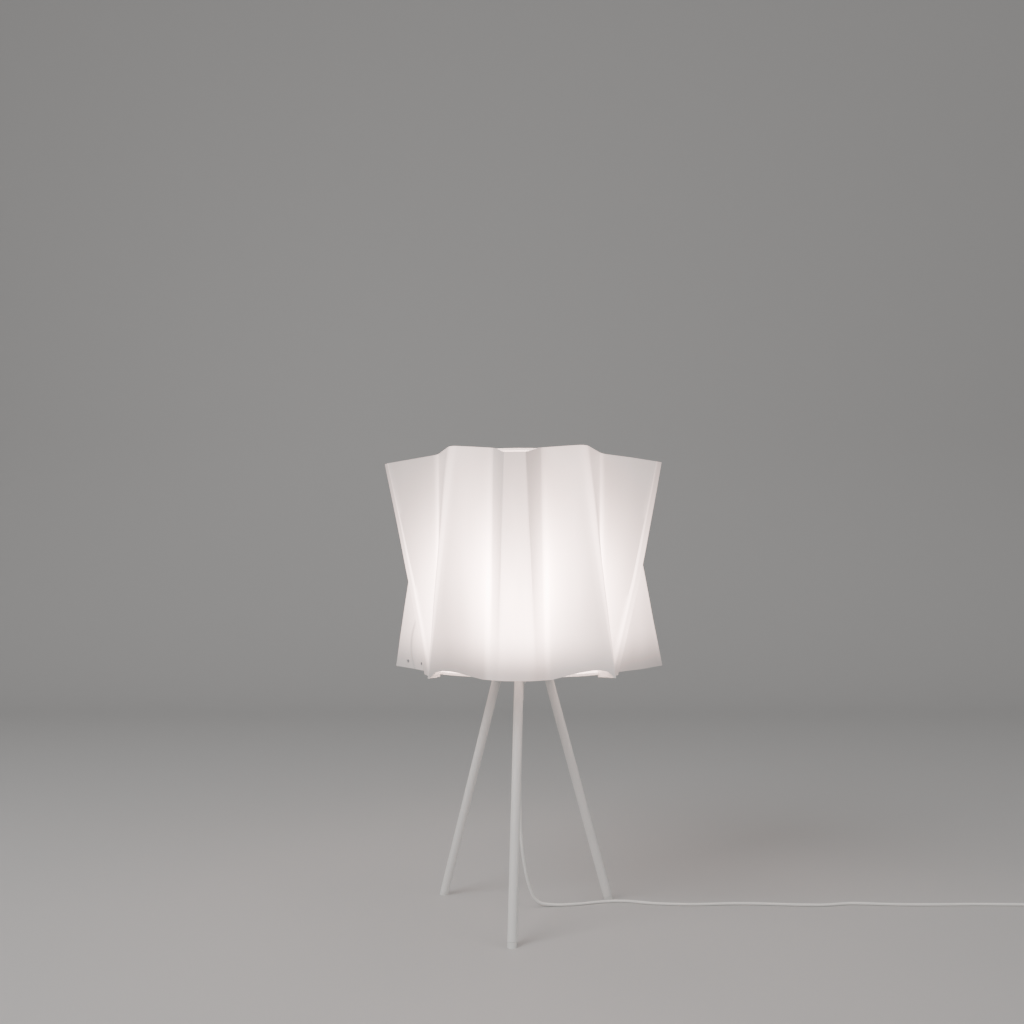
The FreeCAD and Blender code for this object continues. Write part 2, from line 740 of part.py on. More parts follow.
core_top = holder_split + size("core_height")
shell_top = core_top + size("shell_height")
shell_outer = size("shell_radius") + size("shell_wall")
rim_top = holder_split + size("holder_height")
keep("holder_body", turned("holder_body", [
    (holder_inner, holder_split),
    (size("holder_radius"), holder_split),
    (size("holder_radius"), rim_top - size("holder_wall")),
    (size("holder_radius") - size("holder_wall"), rim_top),
    (size("holder_mouth_radius"), rim_top),
    (size("holder_mouth_radius"), rim_top - size("holder_wall")),
    (holder_inner, rim_top - size("holder_wall")),
]))

core_radius = holder_inner - size("slip_gap")
core_blank = turned("core_blank", [
    (zero, holder_split),
    (core_radius, holder_split),
    (core_radius, core_top),
    (zero, core_top),
])
terminals = []
terminal_holes = []
for side in (-1, 1):
    place = Vector(side * number("terminal_spread"), 0, (holder_split - size("slip_gap")).value)
    screw = rod(f"terminal_{side + 1}", size("terminal_radius"), size("terminal_length"))
    hole = rod(f"terminal_hole_{side + 1}", size("terminal_radius") + size("slip_gap"),
               size("terminal_length") + size("slip_gap"))
    for thing in (screw, hole):
        thing.Placement.Base = place
    terminals.append(screw)
    terminal_holes.append(hole)
keep("holder_core", cut("holder_core", core_blank, *terminal_holes))
keep("terminal_screws", group("terminal_screws", terminals))

keep("thread_shell", turned("thread_shell", [
    (size("shell_radius"), core_top),
    (shell_outer, core_top),
    (shell_outer, shell_top),
    (size("shell_radius"), shell_top),
]))
contact_top = core_top + size("contact_height")
keep("centre_contact", turned("centre_contact", [
    (zero, core_top),
    (size("contact_radius"), core_top),
    (size("contact_radius"), core_top + size("contact_height") / 3),
    (size("contact_radius") / 2, contact_top),
    (zero, contact_top),
]))

bar = rod("switch_bar", size("switch_radius"), size("switch_length"))
bar_start = Vector((size("switch_travel") / 2 - size("switch_length") / 2).value,
                   number("switch_offset"), number("switch_height"))
bar.Placement = FreeCAD.Placement(bar_start, Rotation(Vector(0, 1, 0), 90))
keep("switch_bar", bar)

# ---------------------------------------------------------------- bulb

bulb_bottom = contact_top + size("fit_gap")
cap_bottom = bulb_bottom + size("tip_height") + size("insulator_height")
cap_top = cap_bottom + size("cap_height")
bulb_top = bulb_bottom + size("bulb_height")
bulb_middle = bulb_top - size("bulb_radius")
tip_top = bulb_bottom + size("tip_height")
keep("bulb_tip", turned("bulb_tip", [
    (zero, bulb_bottom),
    (size("tip_radius") / 2, bulb_bottom),
    (size("tip_radius"), tip_top),
    (zero, tip_top),
]))
keep("bulb_insulator", turned("bulb_insulator", [
    (zero, tip_top),
    (size("tip_radius") + size("tip_height"), tip_top),
    (size("cap_radius") - size("tip_height"), cap_bottom),
    (zero, cap_bottom),
]))
keep("bulb_cap", turned("bulb_cap", [
    (size("cap_radius") - size("cap_wall"), cap_bottom),
    (size("cap_radius"), cap_bottom),
    (size("cap_radius"), cap_top),
    (size("cap_radius") - size("cap_wall"), cap_top),
]))
# the globe is turned from short straight steps
neck_inner = size("cap_radius") - size("cap_wall") - size("slip_gap")
neck_bottom = cap_top - size("cap_height") / 3
neck_start = cap_top + size("cap_wall")


def globe(radius):
    """Steps round the globe, from its shoulder to just under its top."""
    steps = int(number("bulb_steps"))
    turns = [math.radians(-35 + 125 * step / steps) for step in range(steps)]
    return [(radius * math.cos(turn), bulb_middle + radius * math.sin(turn)) for turn in turns]


inner_globe = size("bulb_radius") - size("bulb_wall")
keep("bulb_glass", turned("bulb_glass", [
    (neck_inner - size("bulb_wall"), neck_bottom),
    (neck_inner, neck_bottom),
    (neck_inner, neck_start),
    *globe(size("bulb_radius")),
    (zero, bulb_top),
    (zero, bulb_top - size("bulb_wall")),
    *reversed(globe(inner_globe)),
    (neck_inner - size("bulb_wall"), neck_start + size("bulb_wall")),
]))
filament_bottom = bulb_middle - size("filament_length") / 2
glass_stem_top = filament_bottom + size("filament_radius") * 3
keep("bulb_stem", turned("bulb_stem", [
    (zero, cap_bottom),
    (neck_inner - size("bulb_wall") - size("slip_gap"), cap_bottom),
    (neck_inner - size("bulb_wall") - size("slip_gap"), neck_bottom - size("slip_gap")),
    (size("glass_stem_radius"), neck_bottom + size("cap_height") / 3),
    (size("glass_stem_radius") / 2, filament_bottom - size("glass_stem_radius")),
    (size("glass_stem_radius") / 2, glass_stem_top),
    (zero, glass_stem_top),
]))
filaments = []
for index in range(int(number("filament_count"))):
    turn = 45 + index * 360.0 / number("filament_count")
    strip = rod(f"filament_{index}", size("filament_radius"), size("filament_length"))
    strip.Placement.Base = polar(number("filament_spread"), turn, filament_bottom.value)
    arm_start = size("glass_stem_radius") / 2 + size("slip_gap")
    arm = rod(f"filament_arm_{index}", size("filament_radius") * 0.6, size("filament_spread") - arm_start)
    start = polar(arm_start.value, turn, (filament_bottom + size("filament_radius")).value)
    outward = polar(1, turn, 0)
    arm.Placement = FreeCAD.Placement(start, Rotation(Vector(0, 0, 1), outward))
    filaments.append(fuse(f"filament_on_arm_{index}", [strip, arm]))
keep("bulb_filaments", group("bulb_filaments", filaments))

# ---------------------------------------------------------------- cord, wires, coil and plug


def arc_between(start, corner, end):
    """The arc from start to end that is tangent to both sides of the corner."""
    weight = (end - start).Length / (2 * (corner - start).Length)
    middle = (start + end + corner * (2 * weight)) * (1 / (2 + 2 * weight))
    return Part.Arc(start, middle, end).toShape()


def cord_path(points):
    """Straight runs joined by tangent arcs as large as their runs allow, and the arcs' radii."""
    edges, radii = [], []
    here = points[0]
    for before, corner, after in zip(points, points[1:], points[2:]):
        run_in, run_out = corner - before, after - corner
        half_turn = run_in.getAngle(run_out) / 2
        reach = 0.45 * min(run_in.Length, run_out.Length)
        radii.append(reach / math.tan(half_turn))
        start = corner - run_in * (reach / run_in.Length)
        end = corner + run_out * (reach / run_out.Length)
        edges.append(Part.LineSegment(here, start).toShape())
        edges.append(arc_between(start, corner, end))
        here = end
    edges.append(Part.LineSegment(here, points[-1]).toShape())
    return edges, radii


def tube(edges, radius):
    """A round tube along joined edges."""
    path = Part.Wire(edges)
    start = edges[0].valueAt(edges[0].FirstParameter)
    heading = edges[0].tangentAt(edges[0].FirstParameter)
    section = Part.Wire(Part.makeCircle(radius, start, heading))
    return path.makePipeShell([section], True, False)


def report_tube(name, shape, edges, radius):
    length = sum(edge.Length for edge in edges)
    share = shape.Volume / (math.pi * radius**2 * length)
    print(f"{name}: length {length:.1f} mm, volume over section times length {share:.4f}")


cord_radius = number("cord_radius")
floor_z = cord_radius
coil_z = cord_radius + number("coil_lift")
coil_start = Vector(number("coil_x") - 2 * cord_radius, number("coil_y") - number("coil_radius"), coil_z)
route = [
    Vector(0.0, 0.0, grip_bottom.value),
    Vector(-0.8, 0.7, 240.0),
    Vector(-2.0, 1.2, 192.0),
    Vector(-2.2, 2.8, 142.0),
    Vector(-1.0, 4.2, 98.0),
    Vector(3.6, 7.2, 60.0),
    Vector(9.6, 11.5, 31.0),
    Vector(19.5, 17.0, 6.5),
    Vector(42.0, 22.4, floor_z),
    Vector(62.0, 23.2, floor_z),
    Vector(85.0, 28.4, floor_z),
    Vector(115.5, 38.6, floor_z),
    Vector(146.0, 39.6, floor_z),
    Vector(174.0, 29.6, floor_z),
    Vector(203.0, 25.6, floor_z),
    Vector(235.0, 24.2, floor_z),
    Vector(263.0, 26.8, floor_z),
    Vector(293.5, 29.0, floor_z),
    Vector(323.0, 27.8, floor_z),
    Vector(352.0, 24.6, floor_z),
    Vector(382.0, 22.4, floor_z),
    Vector(411.0, 21.6, floor_z),
    Vector(443.0, 30.2, floor_z),
    Vector(472.0, 27.4, floor_z),
    Vector(500.0, 24.6, floor_z),
    Vector(530.0, 23.4, floor_z),
    Vector(564.0, 23.8, floor_z),
    Vector(606.0, 25.2, floor_z),
    Vector(650.0, 24.2, floor_z),
    Vector(693.0, 23.2, floor_z),
    coil_start - Vector(number("coil_lead"), 0, 0),
    coil_start,
]
cord_edges, cord_radii = cord_path(route)
cord_shape = tube(cord_edges, cord_radius)
report_tube("cord_free", cord_shape, cord_edges, cord_radius)
print("cord bends:", " ".join(f"{radius:.0f}" for radius in cord_radii))
keep("cord_free", fixed("cord_free", cord_shape))


def half_turn(start, heading, end):
    """Two tangent arcs that turn the cord right round, from start to end."""
    reach = (end - start).Length / 2
    first_corner, last_corner = start + heading * reach, end + heading * reach
    middle = (first_corner + last_corner) * 0.5
    return [arc_between(start, first_corner, middle), arc_between(middle, last_corner, end)]


def coil_edges():
    """Loops that spiral in on the lower layer and out again on the upper one."""
    pitch, loops = number("coil_pitch"), int(number("coil_loops"))
    centre_y = number("coil_y")
    here = Vector(number("coil_x"), centre_y - number("coil_radius"), coil_z)
    edges = [Part.LineSegment(coil_start, here).toShape()]
    heading = Vector(1, 0, 0)
    radius = number("coil_radius")
    height = coil_z
    turns_in = 2 * loops - 1
    for step in range(2 * turns_in):
        side = 1 if step % 2 == 0 else -1
        if step < turns_in:
            radius -= pitch / 2
        elif step == turns_in:
            height += pitch
        else:
            radius += pitch / 2
        there = Vector(here.x, centre_y + side * radius, height)
        edges += half_turn(here, heading, there)
        here, heading = there, -heading
    # a last quarter turn, then straight into the plug
    out = Vector(0, math.copysign(1, centre_y - here.y), 0)
    corner = here + heading * (radius + pitch / 4)
    end = corner + out * (radius + pitch / 4)
    edges.append(arc_between(here, corner, end))
    plug_start = end + out * number("coil_lead")
    edges.append(Part.LineSegment(end, plug_start).toShape())
    return edges, plug_start, out


loops, plug_start, plug_heading = coil_edges()
coil_shape = tube(loops, cord_radius)
report_tube("cord_coil", coil_shape, loops, cord_radius)
keep("cord_coil", fixed("cord_coil", coil_shape))


def least_gap(edges):
    """Least distance between the tube and itself, on points along it over half a loop apart."""
    points, travelled = [], 0.0
    for edge in edges:
        steps = max(int(edge.Length / 2), 2)
        for index in range(steps):
            span = edge.LastParameter - edge.FirstParameter
            share = index / steps
            points.append((travelled + edge.Length * share, edge.valueAt(edge.FirstParameter + span * share)))
        travelled += edge.Length
    skip = math.pi * (number("coil_radius") - number("coil_pitch") * number("coil_loops")) * 0.9
    nearest = min(
        (a - b).Length
        for index, (at, a) in enumerate(points)
        for bt, b in points[index + 1:]
        if bt - at > skip
    )
    return nearest - 2 * cord_radius


print(f"coil: least gap to itself {least_gap(loops):.2f} mm")

# tie round the coil's section, at its far side
tie_wall, tie_width = number("tie_wall"), number("tie_width")
tie_gap = number("slip_gap") * 1.5
first_loop = number("coil_radius") - number("coil_pitch") / 2
last_loop = number("coil_radius") - number("coil_pitch") * (number("coil_loops") - 0.5)
outer_loop = first_loop + cord_radius + tie_gap
inner_loop = last_loop - cord_radius - tie_gap - tie_wall
tie_low = coil_z - cord_radius - tie_gap
tie_high = coil_z + number("coil_pitch") + cord_radius + tie_gap
tie_hole = Part.makeBox(tie_width, outer_loop - inner_loop, tie_high - tie_low,
                        Vector(number("coil_x") - tie_width / 2, number("coil_y") + inner_loop, tie_low))
tie_block = Part.makeBox(tie_width, outer_loop - inner_loop + 2 * tie_wall, tie_high - tie_low + 2 * tie_wall,
                         Vector(number("coil_x") - tie_width / 2, number("coil_y") + inner_loop - tie_wall,
                                tie_low - tie_wall))
keep("coil_tie", fixed("coil_tie", tie_block.cut(tie_hole)))


# the plug lies flat: its own X runs out of the cord, and its own Z is up
def plug_section(distance, width, thickness, corner):
    """A rounded rectangle across the plug at a distance from the cord's end."""
    box = Part.makeBox(1, width, thickness, Vector(distance, -width / 2, -thickness / 2))
    edges = [edge for edge in box.Edges if abs(edge.tangentAt(edge.FirstParameter).x) > 0.9]
    rounded = box.makeFillet(corner, edges)
    face = min(rounded.Faces, key=lambda f: f.CenterOfMass.x)
    return face.OuterWire


neck = number("plug_neck_length")
sleeve = 2 * cord_radius + 2
plug_sections = [
    plug_section(0, sleeve, sleeve, sleeve * 0.45),
    plug_section(neck, sleeve * 1.8, number("plug_thickness") * 0.8, sleeve * 0.45),
]
body_sections = [
    plug_section(neck, sleeve * 1.8, number("plug_thickness") * 0.8, sleeve * 0.45),
    plug_section(neck + number("plug_length") * 0.5, number("plug_width"), number("plug_thickness"), sleeve * 0.45),
    plug_section(neck + number("plug_length"), number("plug_width"), number("plug_thickness"), sleeve * 0.45),
]
plug_shape = Part.makeLoft(plug_sections, True, True).fuse(Part.makeLoft(body_sections, True, True))
plug_turn = Rotation(Vector(1, 0, 0), plug_heading)
plug_body = fixed("plug_body", plug_shape)
plug_body.Placement = FreeCAD.Placement(plug_start, plug_turn)
keep("plug_body", plug_body)

pins = []
for side in (-1, 1):
    pin = rod(f"pin_{side + 1}", size("pin_radius"), size("pin_length"))
    start = Vector(neck + number("plug_length"), side * number("pin_spread"), 0)
    pin.Placement = FreeCAD.Placement(plug_start + plug_turn.multVec(start),
                                      plug_turn.multiply(Rotation(Vector(0, 1, 0), 90)))
    pins.append(pin)
keep("plug_pins", group("plug_pins", pins))

# two wires from the grip up the stem, spreading to the terminals
wires = []
wire_radius = number("wire_radius")
for side in (-1, 1):
    near = side * (wire_radius + number("slip_gap"))
    far = side * number("terminal_spread")
    screw_end = (holder_split - size("slip_gap")).value
    wire_route = [
        Vector(near, 0, grip_bottom.value + wire_radius),
        Vector(near, 0, number("stem_top") + 2 * wire_radius),
        Vector(far, 0, screw_end - 4 * wire_radius),
        Vector(far, 0, screw_end),
    ]
    wire_edges, wire_bends = cord_path(wire_route)
    wires.append(tube(wire_edges, wire_radius))
keep("inner_wires", fixed("inner_wires", Part.Compound(wires)))

# ---------------------------------------------------------------- checks and files

doc.recompute()
for thing in doc.Objects:
    if "Invalid" in thing.State or "Error" in thing.State:
        raise RuntimeError(f"{thing.Name} failed: {thing.State}")
for name, thing in nodes.items():
    if thing.Shape.isNull() or not thing.Shape.isValid() or not thing.Shape.Solids:
        raise RuntimeError(f"{name} has no valid shape")
for name, thing in nodes.items():
    thing.Shape.exportStep(f"parts/{name}.step")
print(f"{len(nodes)} sub-parts written")
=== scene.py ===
import math

import bmesh
import bpy
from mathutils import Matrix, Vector


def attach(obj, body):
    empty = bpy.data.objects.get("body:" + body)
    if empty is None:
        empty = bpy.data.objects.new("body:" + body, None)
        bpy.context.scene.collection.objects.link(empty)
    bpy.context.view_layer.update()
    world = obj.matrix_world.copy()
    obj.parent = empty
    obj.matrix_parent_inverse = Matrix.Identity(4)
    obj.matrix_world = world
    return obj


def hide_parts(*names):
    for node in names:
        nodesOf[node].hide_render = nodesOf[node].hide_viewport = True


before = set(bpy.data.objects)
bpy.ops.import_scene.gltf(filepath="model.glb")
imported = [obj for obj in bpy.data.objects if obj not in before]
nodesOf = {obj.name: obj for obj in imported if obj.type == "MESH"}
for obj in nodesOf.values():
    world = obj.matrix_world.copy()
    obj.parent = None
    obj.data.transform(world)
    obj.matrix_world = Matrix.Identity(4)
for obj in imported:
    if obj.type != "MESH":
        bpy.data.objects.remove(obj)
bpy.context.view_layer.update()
print("frame loaded")


def polar(radius, azimuth, height, offset=0.0):
    # azimuth in degrees from the front, offset sideways
    turn = math.radians(azimuth)
    x = radius * math.sin(turn) + offset * math.cos(turn)
    y = -radius * math.cos(turn) + offset * math.sin(turn)
    return Vector((x, y, height))


def ramp(value, none, full):
    # 0 at none and before it, 1 at full and past it
    return min(max((value - none) / (full - none), 0), 1)


def newObject(name, data):
    thing = bpy.data.objects.new(name, data)
    bpy.context.scene.collection.objects.link(thing)
    return thing


def link(tree, source, node, socket):
    tree.links.new(source, node.inputs[socket])


def put(tree, kind, inputs=None, **settings):
    # a new node; its inputs take plain values or another node's socket
    node = tree.nodes.new(kind)
    for label, value in settings.items():
        setattr(node, label, value)
    for socket, value in (inputs or {}).items():
        if isinstance(value, bpy.types.NodeSocket):
            link(tree, value, node, socket)
        else:
            node.inputs[socket].default_value = value
    return node


def reckon(tree, operation, *values):
    # one step of arithmetic, given back as a socket
    return put(tree, "ShaderNodeMath", dict(enumerate(values)), operation=operation).outputs["Value"]


def makeGroup(name, inputs, outputs):
    group = bpy.data.node_groups.new(name, "ShaderNodeTree")
    for label, default in inputs.items():
        kind = "NodeSocketFloat"
        if isinstance(default, tuple):
            kind = "NodeSocketVector" if len(default) == 3 else "NodeSocketColor"
        socket = group.interface.new_socket(name=label, in_out="INPUT", socket_type=kind)
        socket.default_value = default
    for label, kind in outputs.items():
        group.interface.new_socket(name=label, in_out="OUTPUT", socket_type=kind)
    start = group.nodes.new("NodeGroupInput")
    end = group.nodes.new("NodeGroupOutput")
    return group, start.outputs, end


# faint unevenness that every finish has
grainSettings = {
    "fineDetail": 3,
    "broadScale": 9,
    "bumpHeight": 0.0002,
}


def makeGrain(settings):
    group, given, end = makeGroup(
        "surfaceGrain",
        {"Colour": (0.8, 0.8, 0.8, 1), "Roughness": 0.4, "Grain": 900.0, "Depth": 0.05, "Variation": 0.03},
        {"Colour": "NodeSocketColor", "Roughness": "NodeSocketFloat", "Normal": "NodeSocketVector"},
    )
    place = put(group, "ShaderNodeTexCoord").outputs["Object"]
    fine = put(group, "ShaderNodeTexNoise", {
        "Vector": place,
        "Scale": given["Grain"],
        "Detail": settings["fineDetail"],
    })
    bump = put(group, "ShaderNodeBump", {
        "Height": fine.outputs["Fac"],
        "Strength": given["Depth"],
        "Distance": settings["bumpHeight"],
    })
    broad = put(group, "ShaderNodeTexNoise", {"Vector": place, "Scale": settings["broadScale"]})
    centred = reckon(group, "SUBTRACT", broad.outputs["Fac"], 0.5)
    change = reckon(group, "MULTIPLY", centred, given["Variation"])
    tone = put(group, "ShaderNodeHueSaturation", {
        "Color": given["Colour"],
        "Value": reckon(group, "ADD", change, 1),
    })
    link(group, tone.outputs["Color"], end, "Colour")
    link(group, reckon(group, "ADD", given["Roughness"], change), end, "Roughness")
    link(group, bump.outputs["Normal"], end, "Normal")
    return group


grain = makeGrain(grainSettings)


def makeMaterial(name, colour, roughness, metallic=0.0, scale=900.0, depth=0.05, variation=0.05):
    # colour, roughness and normal all come from the shared grain
    material = bpy.data.materials.new(name)
    material.use_nodes = True
    tree = material.node_tree
    surface = put(tree, "ShaderNodeGroup", node_tree=grain)
    surface.inputs["Colour"].default_value = (*colour, 1)
    surface.inputs["Roughness"].default_value = roughness
    surface.inputs["Grain"].default_value = scale
    surface.inputs["Depth"].default_value = depth
    surface.inputs["Variation"].default_value = variation
    shader = shaderOf(material)
    link(tree, surface.outputs["Colour"], shader, "Base Color")
    link(tree, surface.outputs["Roughness"], shader, "Roughness")
    link(tree, surface.outputs["Normal"], shader, "Normal")
    shader.inputs["Metallic"].default_value = metallic
    return material


def shaderOf(material):
    return material.node_tree.nodes["Principled BSDF"]


def dress(material, *names):
    for name in names:
        mesh = nodesOf[name].data
        mesh.materials.clear()
        mesh.materials.append(material)


# light of the bulb in the shade, as emission
glowSettings = {
    "bulbHeight": 0.427,
    "reach": 0.125,             # distance at which direct and scattered hold as they are
    "strength": 12.0,
    "direct": 14.5,
    "scattered": 0.36,
    "fallOff": 3,               # power of the distance
    "slopePower": 1.5,
    "shadowFoot": 0.319,
    "shadowTop": 0.375,
    "shadowLight": 0.15,        # share of the light left at the shadow's foot
    "cloudScale": 70,
    "cloudDetail": 3,
    "cloudStretch": (1, 1, 0.12),
    "cloudLow": 0.90,
    "cloudHigh": 1.10,
    "colour": (1.0, 0.72, 0.645),
    "edgeOnFrom": 0.45,
    "edgeOn": 0.30,
}
glowShares = {
    "sheet": 1.0,
    # the cut edge's larger share is a painted highlight along the sheet's rim
    "cutEdge": 1.6,
    "ring": 0.8,
    "patch": 0.7,
}


def makeGlow(settings):
    # brightness by the distance and the slope from the bulb
    group, given, end = makeGroup(
        "bulbGlow",
        {
            "Bulb": (0, 0, 0.44),
            "Reach": 0.125,
            "Direct": 0.5,
            "Scattered": 0.3,
            "Shadow Top": 0.35,
            "Shadow Foot": 0.31,
        },
        {"Brightness": "NodeSocketFloat"},
    )
    place = put(group, "ShaderNodeTexCoord").outputs
    away = put(group, "ShaderNodeVectorMath", {0: place["Object"], 1: given["Bulb"]}, operation="SUBTRACT")
    length = put(group, "ShaderNodeVectorMath", {0: away.outputs["Vector"]}, operation="LENGTH")
    heading = put(group, "ShaderNodeVectorMath", {0: away.outputs["Vector"]}, operation="NORMALIZE")
    facing = put(
        group, "ShaderNodeVectorMath", {0: heading.outputs["Vector"], 1: place["Normal"]},
        operation="DOT_PRODUCT",
    )
    nearness = reckon(group, "DIVIDE", given["Reach"], length.outputs["Value"])
    fallen = reckon(group, "POWER", nearness, settings["fallOff"])
    slope = reckon(group, "ABSOLUTE", facing.outputs["Value"])
    slope = reckon(group, "POWER", slope, settings["slopePower"])
    direct = reckon(group, "MULTIPLY", reckon(group, "MULTIPLY", fallen, slope), given["Direct"])
    scattered = reckon(group, "MULTIPLY", nearness, given["Scattered"])
    total = reckon(group, "ADD", direct, scattered)
    # the sheet is faintly cloudy, drawn out along its folds
    stretch = put(group, "ShaderNodeMapping", {
        "Vector": place["Object"],
        "Scale": settings["cloudStretch"],
    })
    cloud = put(group, "ShaderNodeTexNoise", {
        "Vector": stretch.outputs["Vector"],
        "Scale": settings["cloudScale"],
        "Detail": settings["cloudDetail"],
    })
    uneven = put(group, "ShaderNodeMapRange", {
        "Value": cloud.outputs["Fac"],
        "To Min": settings["cloudLow"],
        "To Max": settings["cloudHigh"],
    })
    clouded = reckon(group, "MULTIPLY", total, uneven.outputs["Result"])
    # the carrier plate keeps the light from the lowest strip
    split = put(group, "ShaderNodeSeparateXYZ", {"Vector": place["Object"]})
    shadow = put(group, "ShaderNodeMapRange", {
        "Value": split.outputs["Z"],
        "From Min": given["Shadow Foot"],
        "From Max": given["Shadow Top"],
        "To Min": settings["shadowLight"],
        "To Max": 1,
    }, interpolation_type="SMOOTHSTEP")
    link(group, reckon(group, "MULTIPLY", clouded, shadow.outputs["Result"]), end, "Brightness")
    return group


glow = makeGlow(glowSettings)


def addGlow(material, settings, share):
    tree = material.node_tree
    light = put(tree, "ShaderNodeGroup", node_tree=glow)
    light.inputs["Bulb"].default_value = (0, 0, settings["bulbHeight"])
    light.inputs["Reach"].default_value = settings["reach"]
    light.inputs["Direct"].default_value = settings["direct"] / settings["strength"] * share
    light.inputs["Scattered"].default_value = settings["scattered"] / settings["strength"] * share
    light.inputs["Shadow Top"].default_value = settings["shadowTop"]
    light.inputs["Shadow Foot"].default_value = settings["shadowFoot"]
    # a sheet seen edge-on is darker, because the light comes a longer way through it
    view = put(tree, "ShaderNodeLayerWeight", {"Blend": 0.5})
    dimmed = put(tree, "ShaderNodeMapRange", {
        "Value": view.outputs["Facing"],
        "From Min": settings["edgeOnFrom"],
        "To Min": 1,
        "To Max": settings["edgeOn"],
    })
    brightness = reckon(tree, "MULTIPLY", light.outputs["Brightness"], dimmed.outputs["Result"])
    tint = put(
        tree, "ShaderNodeVectorMath", {0: settings["colour"], "Scale": brightness},
        name="glowTint", operation="SCALE",
    )
    shader = shaderOf(material)
    link(tree, tint.outputs["Vector"], shader, "Emission Color")
    shader.inputs["Emission Strength"].default_value = settings["strength"]


# the pleated sheet: flat noses that lean in towards the foot, pointed flares that lean out
shadeSettings = {
    "folds": 5,
    "turn": -3.0,
    "wall": 0.0008,
    "noseTopRadius": 0.1793,
    "noseTopWidth": 0.025,
    "noseTopHeight": 0.586,
    "noseTopBend": 0.0012,
    "noseFootRadius": 0.1278,
    "noseFootWidth": 0.034,
    "noseFootHeight": 0.3165,
    "noseFootBend": 0.026,
    "flareTopRadius": 0.140,
    "flareTopHeight": 0.601,
    "flareTopBend": 0.016,
    "flareFootRadius": 0.1918,
    "flareFootHeight": 0.326,
    "flareFootBend": 0.0012,
    "valleyRadius": 0.122,
    "valleyBend": 0.009,
    "valleyTopAngle": 14.0,
    "valleyTopHeight": 0.597,
    "valleyFootAngle": 18.1,
    "valleyFootHeight": 0.317,
    "bendLimit": 0.46,          # share of a panel's width that one bend may take
    "bendSteps": 5,
    "columns": 9,
    "rows": 56,
    "scallop": 0.0100,          # rise of the front fold's lower rim beside its points
    "scallopPeak": 1.35,
    "scallopStart": 0.12,
    "noseSag": 0.0025,          # drop of the front noses' upper rim
    "noseSagFrom": (0.128, 0.168),
    "frontDepth": (-0.10, -0.16),
    "rimFade": 6,
    "ripple": 0.0007,
    "rippleScale": 14,
    "seed": 4,
    "foldWeld": 0.00005,
    "wallWeld": 0.00002,
    "crispAngle": 0.6,
}


def foldCorners(settings, rim):
    # the corners of three neighbouring folds on one rim: place, bend radius, kind
    step = 360 / settings["folds"]
    noseRadius = settings["nose" + rim + "Radius"]
    noseHeight = settings["nose" + rim + "Height"]
    noseHalf = settings["nose" + rim + "Width"] / 2
    noseBend = settings["nose" + rim + "Bend"]
    flareRadius = settings["flare" + rim + "Radius"]
    flareHeight = settings["flare" + rim + "Height"]
    flareBend = settings["flare" + rim + "Bend"]
    valleyRadius = settings["valleyRadius"]
    valleyHeight = settings["valley" + rim + "Height"]
    valleyAngle = settings["valley" + rim + "Angle"]
    valleyBend = settings["valleyBend"]
    corners = []
    for fold in (-1, 0, 1):
        nose = fold * step
        corners.append((polar(noseRadius, nose, noseHeight, -noseHalf), noseBend, "nose"))
        corners.append((polar(noseRadius, nose, noseHeight, noseHalf), noseBend, "nose"))
        corners.append((polar(valleyRadius, nose + valleyAngle, valleyHeight), valleyBend, "valley"))
        corners.append((polar(flareRadius, nose + step / 2, flareHeight), flareBend, "flare"))
        corners.append((polar(valleyRadius, nose + step - valleyAngle, valleyHeight), valleyBend, "valley"))
    return corners


def bendArc(settings, before, corner, after):
    # the corner rounded off by a curve that touches both its panels
    place, radius, kind = corner
    back = before[0] - place
    ahead = after[0] - place
    limit = settings["bendLimit"]
    reach = min(radius / math.tan(back.angle(ahead) / 2), limit * back.length, limit * ahead.length)
    start = place + back.normalized() * reach
    end = place + ahead.normalized() * reach
    steps = settings["bendSteps"]
    arc = []
    for count in range(steps + 1):
        share = count / steps
        arc.append(start.lerp(place, share).lerp(place.lerp(end, share), share))
    return arc


def rimPoints(settings, rim):
    # one fold's rim from one nose's left corner to the next one's: points, each with its scallop
    corners = foldCorners(settings, rim)
    first, last = 5, 10
    middle = settings["bendSteps"] // 2
    arcs = []
    for index in range(first, last + 1):
        arcs.append(bendArc(settings, corners[index - 1], corners[index], corners[index + 1]))
    arcs[0] = arcs[0][middle:]
    arcs[-1] = arcs[-1][:middle + 1]
    kinds = [kind for place, radius, kind in corners[first:last + 1]]
    points = [(spot, 0) for spot in arcs[0]]
    for arc, following, kind, nextKind in zip(arcs, arcs[1:], kinds, kinds[1:]):
        for count in range(1, settings["columns"]):
            share = count / settings["columns"]
            scallop = 0
            if "flare" in (kind, nextKind):
                near = share if kind == "flare" else 1 - share
                rise = 1 - math.exp(-near / settings["scallopStart"])
                scallop = settings["scallopPeak"] * (1 - near) * rise
            points.append((arc[-1].lerp(following[0], share), scallop))
        points += [(spot, 0) for spot in following]
    return points


